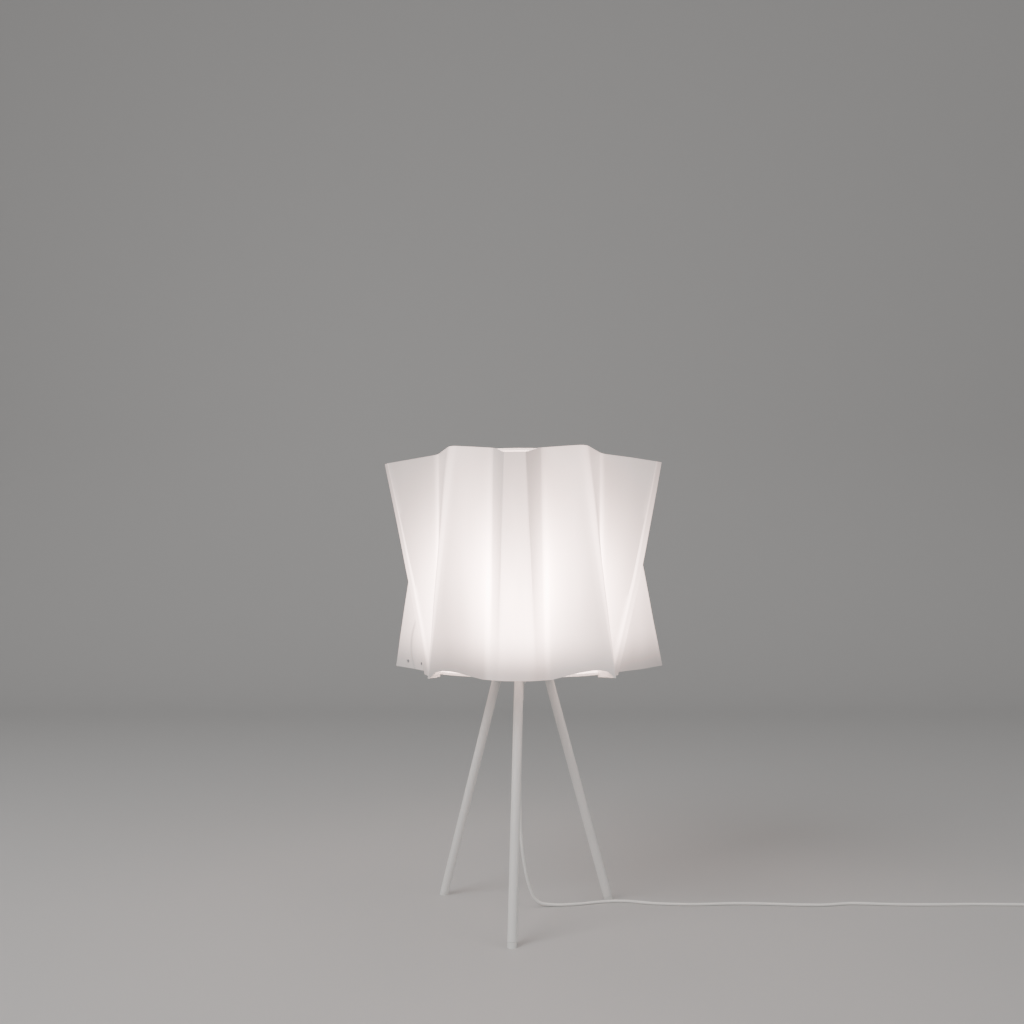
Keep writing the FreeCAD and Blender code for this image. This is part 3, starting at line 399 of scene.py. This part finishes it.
def makeFold(settings):
    # one fold, a grid whose columns run straight from rim to rim
    tops = [spot for spot, scallop in rimPoints(settings, "Top")]
    feet = rimPoints(settings, "Foot")
    rows = settings["rows"]
    fade = settings["rimFade"]
    vertices, rises, sags = [], [], []
    for row in range(rows + 1):
        height = row / rows
        for top, (foot, scallop) in zip(tops, feet):
            spot = foot.lerp(top, height)
            outness = ramp(math.hypot(spot.x, spot.y), *settings["noseSagFrom"])
            vertices.append(tuple(spot))
            rises.append(settings["scallop"] * scallop * (1 - height) ** fade)
            sags.append(settings["noseSag"] * outness * height ** fade)
    width = len(tops)
    faces = []
    for row in range(rows):
        for column in range(width - 1):
            corner = row * width + column
            faces.append((corner, corner + 1, corner + 1 + width, corner + width))
    mesh = bpy.data.meshes.new("oneFold")
    mesh.from_pydata(vertices, [], faces)
    for label, values in (("footRise", rises), ("noseSag", sags)):
        mesh.attributes.new(label, "FLOAT", "POINT").data.foreach_set("value", values)
    mesh.update()
    return newObject("oneFold", mesh)


def makePleatTree(settings):
    tree = bpy.data.node_groups.new("pleatedSheet", "GeometryNodeTree")
    tree.interface.new_socket(name="Geometry", in_out="OUTPUT", socket_type="NodeSocketGeometry")
    for label, kind in (
        ("Fold", "NodeSocketObject"),
        ("Folds", "NodeSocketInt"),
        ("Turn", "NodeSocketFloat"),
        ("Wall", "NodeSocketFloat"),
        ("Ripple", "NodeSocketFloat"),
        ("Seed", "NodeSocketInt"),
        ("Material", "NodeSocketMaterial"),
        ("Edge Material", "NodeSocketMaterial"),
    ):
        tree.interface.new_socket(name=label, in_out="INPUT", socket_type=kind)
    given = tree.nodes.new("NodeGroupInput").outputs
    end = tree.nodes.new("NodeGroupOutput")

    # the fold repeated round the axis
    points = put(tree, "GeometryNodeMeshLine", {"Count": given["Folds"], "Offset": (0, 0, 0)})
    info = put(tree, "GeometryNodeObjectInfo", {"Object": given["Fold"]})
    index = put(tree, "GeometryNodeInputIndex").outputs["Index"]
    pitch = reckon(tree, "DIVIDE", 2 * math.pi, given["Folds"])
    angle = reckon(tree, "MULTIPLY_ADD", index, pitch, given["Turn"])
    spin = put(tree, "ShaderNodeCombineXYZ", {"Z": angle})
    copies = put(tree, "GeometryNodeInstanceOnPoints", {
        "Points": points.outputs["Mesh"],
        "Instance": info.outputs["Geometry"],
        "Rotation": spin.outputs["Vector"],
    })
    real = put(tree, "GeometryNodeRealizeInstances", {"Geometry": copies.outputs["Instances"]})
    joined = put(tree, "GeometryNodeMergeByDistance", {
        "Geometry": real.outputs["Geometry"],
        "Distance": settings["foldWeld"],
    })

    # a faint ripple across the panels
    noise = put(tree, "ShaderNodeTexNoise", {
        "W": given["Seed"],
        "Scale": settings["rippleScale"],
        "Detail": 1,
    }, noise_dimensions="4D")
    centred = reckon(tree, "SUBTRACT", noise.outputs["Fac"], 0.5)
    amount = reckon(tree, "MULTIPLY", centred, given["Ripple"])
    normal = put(tree, "GeometryNodeInputNormal").outputs["Normal"]
    shift = put(tree, "ShaderNodeVectorMath", {0: normal, "Scale": amount}, operation="SCALE")
    rippled = put(tree, "GeometryNodeSetPosition", {
        "Geometry": joined.outputs["Geometry"],
        "Offset": shift.outputs["Vector"],
    })

    # the front fold hangs a little differently from the others
    place = put(tree, "GeometryNodeInputPosition").outputs["Position"]
    split = put(tree, "ShaderNodeSeparateXYZ", {"Vector": place})
    depth = split.outputs["Y"]
    around = reckon(tree, "ARCTAN2", split.outputs["X"], reckon(tree, "MULTIPLY", depth, -1))
    fromNose = reckon(tree, "ABSOLUTE", reckon(tree, "SUBTRACT", around, given["Turn"]))
    halfPitch = reckon(tree, "MULTIPLY", pitch, 0.501)      # a hair over half, to take in both edges
    frontFold = reckon(tree, "LESS_THAN", fromNose, halfPitch)
    frontStart, frontFull = settings["frontDepth"]
    frontNose = put(tree, "ShaderNodeMapRange", {
        "Value": depth,
        "From Min": frontStart,
        "From Max": frontFull,
    })
    moves = []
    for label, share in (("footRise", frontFold), ("noseSag", frontNose.outputs["Result"])):
        stored = put(tree, "GeometryNodeInputNamedAttribute", {"Name": label}, data_type="FLOAT")
        moves.append(reckon(tree, "MULTIPLY", share, stored.outputs["Attribute"]))
    upward = put(tree, "ShaderNodeCombineXYZ", {"Z": reckon(tree, "SUBTRACT", *moves)})
    moved = put(tree, "GeometryNodeSetPosition", {
        "Geometry": rippled.outputs["Geometry"],
        "Offset": upward.outputs["Vector"],
    })

    # the wall, grown inwards from the outer face, with its cut edges marked
    inward = put(tree, "GeometryNodeFlipFaces", {"Mesh": moved.outputs["Geometry"]})
    wall = put(tree, "GeometryNodeExtrudeMesh", {
        "Mesh": inward.outputs["Mesh"],
        "Offset Scale": given["Wall"],
        "Individual": False,
    })
    mark = put(tree, "GeometryNodeStoreNamedAttribute", {
        "Geometry": wall.outputs["Mesh"],
        "Name": "cutEdge",
        "Value": wall.outputs["Side"],
    }, data_type="BOOLEAN", domain="FACE")
    both = put(tree, "GeometryNodeJoinGeometry", {"Geometry": mark.outputs["Geometry"]})
    link(tree, moved.outputs["Geometry"], both, "Geometry")
    closed = put(tree, "GeometryNodeMergeByDistance", {
        "Geometry": both.outputs["Geometry"],
        "Distance": settings["wallWeld"],
    })

    # smooth bends, crisp cut edges
    smooth = put(tree, "GeometryNodeSetShadeSmooth", {"Geometry": closed.outputs["Geometry"]})
    bend = put(tree, "GeometryNodeInputMeshEdgeAngle").outputs["Unsigned Angle"]
    sharp = put(
        tree, "FunctionNodeCompare", {"A": bend, "B": settings["crispAngle"]}, operation="GREATER_THAN",
    )
    crisp = put(tree, "GeometryNodeSetShadeSmooth", {
        "Geometry": smooth.outputs["Geometry"],
        "Selection": sharp.outputs["Result"],
        "Shade Smooth": False,
    }, domain="EDGE")

    whole = put(tree, "GeometryNodeRealizeInstances", {"Geometry": crisp.outputs["Geometry"]})
    coated = put(tree, "GeometryNodeSetMaterial", {
        "Geometry": whole.outputs["Geometry"],
        "Material": given["Material"],
    })
    # the cut edges get the painted highlight material
    marked = put(tree, "GeometryNodeInputNamedAttribute", {"Name": "cutEdge"}, data_type="BOOLEAN")
    edged = put(tree, "GeometryNodeSetMaterial", {
        "Geometry": coated.outputs["Geometry"],
        "Selection": marked.outputs["Attribute"],
        "Material": given["Edge Material"],
    })
    link(tree, edged.outputs["Geometry"], end, "Geometry")
    return tree


def grown(tree, name, values):
    # runs a tree on an empty mesh and keeps what it makes as a plain mesh
    holder = newObject(name + "Holder", bpy.data.meshes.new(name + "Holder"))
    modifier = holder.modifiers.new(name, "NODES")
    modifier.node_group = tree
    for item in tree.interface.items_tree:
        if item.item_type == "SOCKET" and item.in_out == "INPUT":
            modifier[item.identifier] = values[item.name]
    bpy.context.view_layer.update()
    shape = holder.evaluated_get(bpy.context.evaluated_depsgraph_get())
    mesh = bpy.data.meshes.new_from_object(shape)
    bpy.data.objects.remove(holder)
    return newObject(name, mesh)


# a real sheet hangs unevenly: its right side leans out and its lower corners droop
settleSettings = {
    "rightShift": 0.0058,
    "rightFootShift": 0.0042,
    "rightFrontShift": 0.0045,
    "leftFootShift": 0.0040,
    "leftFrontMore": 1.2,
    "cornerLift": 0.0020,
    "leftDroop": 0.0050,
    "rightDroop": 0.0032,
}
# where each of them starts and where it is full
settleZones = {
    "lowHeight": (0.58, 0.32),
    "topHeight": (0.52, 0.58),
    "outerRadius": (0.128, 0.150),
    "droopRadius": (0.125, 0.190),
    "sideways": (0.06, 0.10),
    "cornerSideways": (0.145, 0.165),
    "rightFront": (-0.07, -0.13),
    "rightBack": (-0.02, 0.04),
    "rightCorner": (-0.076, -0.054),
    "leftFront": (-0.08, -0.14),
    "leftCorner": (-0.058, -0.036),
}


def settle(mesh, settings, zones):
    for vertex in mesh.vertices:
        x, y, z = vertex.co
        radius = math.hypot(x, y)
        low = ramp(z, *zones["lowHeight"])
        outer = ramp(radius, *zones["outerRadius"])
        side = ramp(abs(x), *zones["sideways"])
        if x > 0:
            front = ramp(y, *zones["rightFront"])
            shift = settings["rightShift"] * (1 - front) + settings["rightFrontShift"] * front * low
            shift += settings["rightFootShift"] * ramp(y, *zones["rightBack"]) * low ** 2
            droop = settings["rightDroop"]
            corner = ramp(y, *zones["rightCorner"])
        else:
            more = settings["leftFrontMore"] * ramp(y, *zones["leftFront"])
            shift = settings["leftFootShift"] * (1 + more) * low
            droop = settings["leftDroop"]
            corner = ramp(y, *zones["leftCorner"])
        corner *= ramp(abs(x), *zones["cornerSideways"]) * ramp(z, *zones["topHeight"])
        vertex.co.x += shift * outer * side
        vertex.co.z -= droop * ramp(radius, *zones["droopRadius"]) * side * low ** 4
        vertex.co.z += settings["cornerLift"] * corner


# painted shade along the free edge of the sheet's lap: a soft darker curved line in the glow above the
# rivets
seamShadeSettings = {
    "place": -0.1503,           # sideways, where the line is steepest
    "height": 0.350,
    "curve": 5.8,
    "width": 0.0026,
    "top": 0.392,
    "fade": 60,
    "near": 0.005,              # the line shows between these two depths
    "far": 0.055,
    "shade": 0.45,
}


def makeSeamShade(settings):
    labels = {label.capitalize(): value for label, value in settings.items()}
    group, given, end = makeGroup("paintedSeamShade", labels, {"Brightness": "NodeSocketFloat"})
    place = put(group, "ShaderNodeTexCoord").outputs["Object"]
    across, depth, height = put(group, "ShaderNodeSeparateXYZ", {"Vector": place}).outputs
    rise = reckon(group, "SUBTRACT", height, given["Height"])
    bend = reckon(group, "MULTIPLY", reckon(group, "MULTIPLY", rise, rise), given["Curve"])
    middle = reckon(group, "ADD", given["Place"], bend)
    away = reckon(group, "ABSOLUTE", reckon(group, "SUBTRACT", across, middle))
    away = reckon(group, "MINIMUM", reckon(group, "DIVIDE", away, given["Width"]), 1)
    line = reckon(group, "SUBTRACT", 1, away)
    ending = reckon(group, "MULTIPLY", reckon(group, "SUBTRACT", given["Top"], height), given["Fade"])
    ending = reckon(group, "MINIMUM", reckon(group, "MAXIMUM", ending, 0), 1)
    behind = reckon(group, "GREATER_THAN", depth, given["Near"])
    before = reckon(group, "LESS_THAN", depth, given["Far"])
    # painted shade: the glow is darkened along this line
    mask = reckon(group, "MULTIPLY", line, ending)
    mask = reckon(group, "MULTIPLY", mask, reckon(group, "MULTIPLY", behind, before))
    darker = reckon(group, "MULTIPLY", mask, reckon(group, "SUBTRACT", 1, given["Shade"]))
    link(group, reckon(group, "SUBTRACT", 1, darker), end, "Brightness")
    return group


def addSeamShade(material, settings):
    tree = material.node_tree
    seam = put(tree, "ShaderNodeGroup", node_tree=makeSeamShade(settings))
    for label, value in settings.items():
        seam.inputs[label.capitalize()].default_value = value
    # the painted seam shade darkens the sheet's glow
    tint = tree.nodes["glowTint"]
    brightness = tint.inputs["Scale"].links[0].from_socket
    link(tree, reckon(tree, "MULTIPLY", brightness, seam.outputs["Brightness"]), tint, "Scale")


sheetMaterial = makeMaterial(
    "shadeSheet", (0.60, 0.59, 0.58), 0.42,
    scale=420.0, depth=0.12, variation=0.04,
)
addGlow(sheetMaterial, glowSettings, glowShares["sheet"])
addSeamShade(sheetMaterial, seamShadeSettings)
# painted highlight on the cut edges: a lighter colour and a larger share of the glow
cutEdgeHighlight = makeMaterial("shadeCutEdgePaintedHighlight", (0.88, 0.87, 0.86), 0.5)
addGlow(cutEdgeHighlight, glowSettings, glowShares["cutEdge"])
fold = makeFold(shadeSettings)
pleats = grown(makePleatTree(shadeSettings), "pleatedSheetLook", {
    "Fold": fold,
    "Folds": shadeSettings["folds"],
    "Turn": math.radians(shadeSettings["turn"]),
    "Wall": shadeSettings["wall"],
    "Ripple": shadeSettings["ripple"] * 2,      # the noise runs from -0.5 to 0.5
    "Seed": shadeSettings["seed"],
    "Material": sheetMaterial,
    "Edge Material": cutEdgeHighlight,
})
bpy.data.objects.remove(fold)
settle(pleats.data, settleSettings, settleZones)
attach(pleats, "shade")
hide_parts("pleated_sheet")
print("pleated sheet made:", len(pleats.data.polygons), "faces")

# finishes of the other pieces, each with the CAD nodes that wear it
finishes = {
    "whitePaint": {
        "look": {"colour": (0.80, 0.785, 0.765), "roughness": 0.38, "scale": 1400.0, "depth": 0.04},
        "pieces": ("hub", "leg_front", "leg_left", "leg_right"),
    },
    "paleRubber": {
        "look": {"colour": (0.74, 0.73, 0.71), "roughness": 0.62},
        "pieces": ("foot_front", "foot_left", "foot_right"),
    },
    "platedSteel": {
        "look": {"colour": (0.66, 0.66, 0.68), "roughness": 0.28, "metallic": 1.0},
        "pieces": ("leg_studs", "stem_tube", "lock_washer", "lock_nut", "terminal_screws", "plug_pins"),
    },
    "palePlastic": {
        "look": {"colour": (0.83, 0.82, 0.80), "roughness": 0.35},
        "pieces": ("cord_grip", "holder_cap", "holder_body", "switch_bar"),
    },
    "holderCeramic": {
        "look": {"colour": (0.86, 0.84, 0.80), "roughness": 0.2},
        "pieces": ("holder_core",),
    },
    "holderBrass": {
        "look": {"colour": (0.80, 0.60, 0.30), "roughness": 0.25, "metallic": 1.0},
        "pieces": ("thread_shell", "centre_contact"),
    },
    "ringPlastic": {
        "look": {"colour": (0.86, 0.86, 0.85), "roughness": 0.3},
        "pieces": ("top_ring", "carrier_plate"),
    },
    "patchSheet": {
        "look": {"colour": (0.84, 0.835, 0.825), "roughness": 0.45},
        "pieces": (),
    },
    "wireCover": {
        "look": {"colour": (0.30, 0.32, 0.38), "roughness": 0.5},
        "pieces": ("inner_wires",),
    },
    "capMetal": {
        "look": {"colour": (0.75, 0.75, 0.74), "roughness": 0.3, "metallic": 1.0},
        "pieces": ("bulb_cap", "bulb_tip"),
    },
    "darkGlass": {
        "look": {"colour": (0.05, 0.05, 0.06), "roughness": 0.15},
        "pieces": ("bulb_insulator",),
    },
    "bulbGlass": {
        "look": {"colour": (0.95, 0.94, 0.92), "roughness": 0.2},
        "pieces": ("bulb_glass", "bulb_filaments", "bulb_stem"),
    },
    "tieRubber": {
        "look": {"colour": (0.30, 0.30, 0.31), "roughness": 0.6},
        "pieces": ("coil_tie",),
    },
    "cordCover": {
        "look": {"colour": (0.84, 0.825, 0.80), "roughness": 0.4},
        "pieces": ("plug_body",),
    },
}
bulbSettings = {
    "colour": (1, 0.95, 0.9, 1),
    "strength": 2.5,
}

materials = {}
for name, finish in finishes.items():
    materials[name] = makeMaterial(name, **finish["look"])
    dress(materials[name], *finish["pieces"])
# painted glow: the top ring, the carrier plate and the seam patches get emission that stands in for the
# bulb's light through them
addGlow(materials["ringPlastic"], glowSettings, glowShares["ring"])
addGlow(materials["patchSheet"], glowSettings, glowShares["patch"])
bulbShader = shaderOf(materials["bulbGlass"])
bulbShader.inputs["Emission Color"].default_value = bulbSettings["colour"]
bulbShader.inputs["Emission Strength"].default_value = bulbSettings["strength"]
print("CAD nodes coated")

# patches and rivets of the seam are copied, so that they can settle with the sheet
seamPieces = {
    "seam_patches": {"finish": "patchSheet", "slot": "shade_sheet"},
    "seam_rivets": {"finish": "platedSteel", "slot": "rivet_steel"},
}
weldDistance = 0.000001

for name, piece in seamPieces.items():
    look = newObject(name + "Look", nodesOf[name].data.copy())
    welded = bmesh.new()
    welded.from_mesh(look.data)
    bmesh.ops.remove_doubles(welded, verts=welded.verts, dist=weldDistance)
    welded.to_mesh(look.data)
    welded.free()
    settle(look.data, settleSettings, settleZones)
    look.data.materials.clear()
    look.data.materials.append(materials[piece["finish"]])
    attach(look, "shade")
    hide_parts(name)
print("seam pieces settled")

cordSettings = {
    "diameter": 0.004,
    "coilCentre": (0.738, 0.050),
    "coilRadius": 0.030,
    "coilPitch": 0.0052,
    "coilLift": 0.0028,
    "halfTurnsIn": 5,
    "lead": 0.016,
    "pointsPerHalfTurn": 6,
}
cordRoute = [
    (0.0, 0.0, 0.280), (-0.0008, 0.0007, 0.240), (-0.0020, 0.0012, 0.192), (-0.0022, 0.0028, 0.142),
    (-0.0010, 0.0042, 0.098), (0.0036, 0.0072, 0.060), (0.0096, 0.0115, 0.031), (0.0195, 0.0170, 0.0065),
    (0.0420, 0.0224, 0.002), (0.0620, 0.0232, 0.002), (0.0850, 0.0284, 0.002), (0.1155, 0.0386, 0.002),
    (0.1460, 0.0396, 0.002), (0.1740, 0.0296, 0.002), (0.2030, 0.0256, 0.002), (0.2350, 0.0242, 0.002),
    (0.2630, 0.0268, 0.002), (0.2935, 0.0290, 0.002), (0.3230, 0.0278, 0.002), (0.3520, 0.0246, 0.002),
    (0.3820, 0.0224, 0.002), (0.4110, 0.0216, 0.002), (0.4430, 0.0302, 0.002), (0.4720, 0.0274, 0.002),
    (0.5000, 0.0246, 0.002), (0.5300, 0.0234, 0.002), (0.5640, 0.0238, 0.002), (0.6060, 0.0252, 0.002),
    (0.6500, 0.0242, 0.002), (0.6930, 0.0232, 0.002), (0.7180, 0.0200, 0.0028),
]


def coilPoints(settings):
    # spirals in on the lower layer and out again on the upper one
    centreX, centreY = settings["coilCentre"]
    steps = settings["pointsPerHalfTurn"]
    halves = settings["halfTurnsIn"]
    pitch = settings["coilPitch"]
    spread = 1 / math.cos(math.pi / steps / 2)      # the curve runs inside its control points
    points = []
    for count in range((2 * halves) * steps + steps // 2 + 1):
        turns = count / steps
        if turns <= halves:
            inwards, climb = turns, 0
        elif turns <= halves + 1:
            inwards, climb = halves, turns - halves
        else:
            inwards, climb = 2 * halves + 1 - turns, 1
        radius = settings["coilRadius"] - inwards * pitch / 2
        angle = -math.pi / 2 + turns * math.pi
        x = centreX + radius * spread * math.cos(angle)
        y = centreY + radius * spread * math.sin(angle)
        points.append((x, y, settings["coilLift"] + climb * pitch))
    return points


def makeCord(settings, route, material):
    points = route + coilPoints(settings)
    x, y, z = points[-1]
    points.append((x, y + settings["lead"], z))     # the straight end that goes into the plug
    data = bpy.data.curves.new("mainsCord", "CURVE")
    data.dimensions = "3D"
    data.bevel_depth = settings["diameter"] / 2
    data.bevel_resolution = 3
    data.resolution_u = 6
    data.use_fill_caps = True
    spline = data.splines.new("NURBS")
    spline.points.add(len(points) - 1)
    for spot, place in zip(spline.points, points):
        spot.co = (*place, 1)
    spline.order_u = 3
    spline.use_endpoint_u = True
    data.materials.append(material)
    return newObject("mainsCord", data)


cord = makeCord(cordSettings, cordRoute, materials["cordCover"])
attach(cord, "stand")
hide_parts("cord_free", "cord_coil")
print("cord laid")

studioSettings = {
    "floorColour": (0.52, 0.515, 0.51),
    "floorRoughness": 0.55,
    "front": -3.0,
    "back": 2.2,                # where the floor starts to curve up
    "curve": 1.2,
    "curveSteps": 16,
    "height": 4.0,
    "halfWidth": 6.0,
    "ambient": 0.42,
    "ambientColour": (1, 0.99, 0.98, 1),
    "aim": (0, 0, 0.3),
}
lightSettings = {
    "keyLight": {"place": (-1.6, -1.5, 2.0), "size": 1.6, "power": 46},
    "fillLight": {"place": (2.0, -1.2, 1.4), "size": 1.8, "power": 10},
}
cameraSettings = {
    "place": (-0.0126, -1.305, 0.4187),
    "sensor": 36,
    "lens": 34.63,
    "shiftUp": 0.0817,
}


def makeStudio(settings):
    # a floor that curves up into a backdrop
    back, curve, steps = settings["back"], settings["curve"], settings["curveSteps"]
    profile = [(settings["front"], 0.0), (back, 0.0)]
    for count in range(1, steps + 1):
        angle = math.pi / 2 * count / steps
        profile.append((back + curve * math.sin(angle), curve * (1 - math.cos(angle))))
    profile.append((back + curve, settings["height"]))
    vertices = [(side * settings["halfWidth"], y, z) for y, z in profile for side in (-1, 1)]
    faces = [(2 * i, 2 * i + 1, 2 * i + 3, 2 * i + 2) for i in range(len(profile) - 1)]
    mesh = bpy.data.meshes.new("studioFloor")
    mesh.from_pydata(vertices, [], faces)
    for polygon in mesh.polygons:
        polygon.use_smooth = True
    floor = newObject("studioFloor", mesh)
    mesh.materials.append(makeMaterial(
        "studioFloor", settings["floorColour"], settings["floorRoughness"],
        scale=60.0, depth=0.0, variation=0.0,
    ))


def makeLight(name, place, size, power, aim):
    data = bpy.data.lights.new(name, "AREA")
    data.shape = "RECTANGLE"
    data.size = size
    data.size_y = size
    data.energy = power
    light = newObject(name, data)
    light.location = place
    light.rotation_euler = (Vector(aim) - Vector(place)).to_track_quat("-Z", "Y").to_euler()


def makeWorld(settings):
    world = bpy.data.worlds.new("studioWorld")
    world.use_nodes = True
    background = world.node_tree.nodes["Background"]
    background.inputs["Color"].default_value = settings["ambientColour"]
    background.inputs["Strength"].default_value = settings["ambient"]
    bpy.context.scene.world = world


def makeCamera(settings):
    data = bpy.data.cameras.new("photoCamera")
    data.sensor_width = settings["sensor"]
    data.lens = settings["lens"]
    data.shift_y = settings["shiftUp"]
    camera = newObject("photoCamera", data)
    camera.location = settings["place"]
    camera.rotation_euler = (math.pi / 2, 0, 0)     # level, looking straight at the front
    bpy.context.scene.camera = camera


makeStudio(studioSettings)
for name, values in lightSettings.items():
    makeLight(name, aim=studioSettings["aim"], **values)
makeWorld(studioSettings)
makeCamera(cameraSettings)
print("studio and camera set")
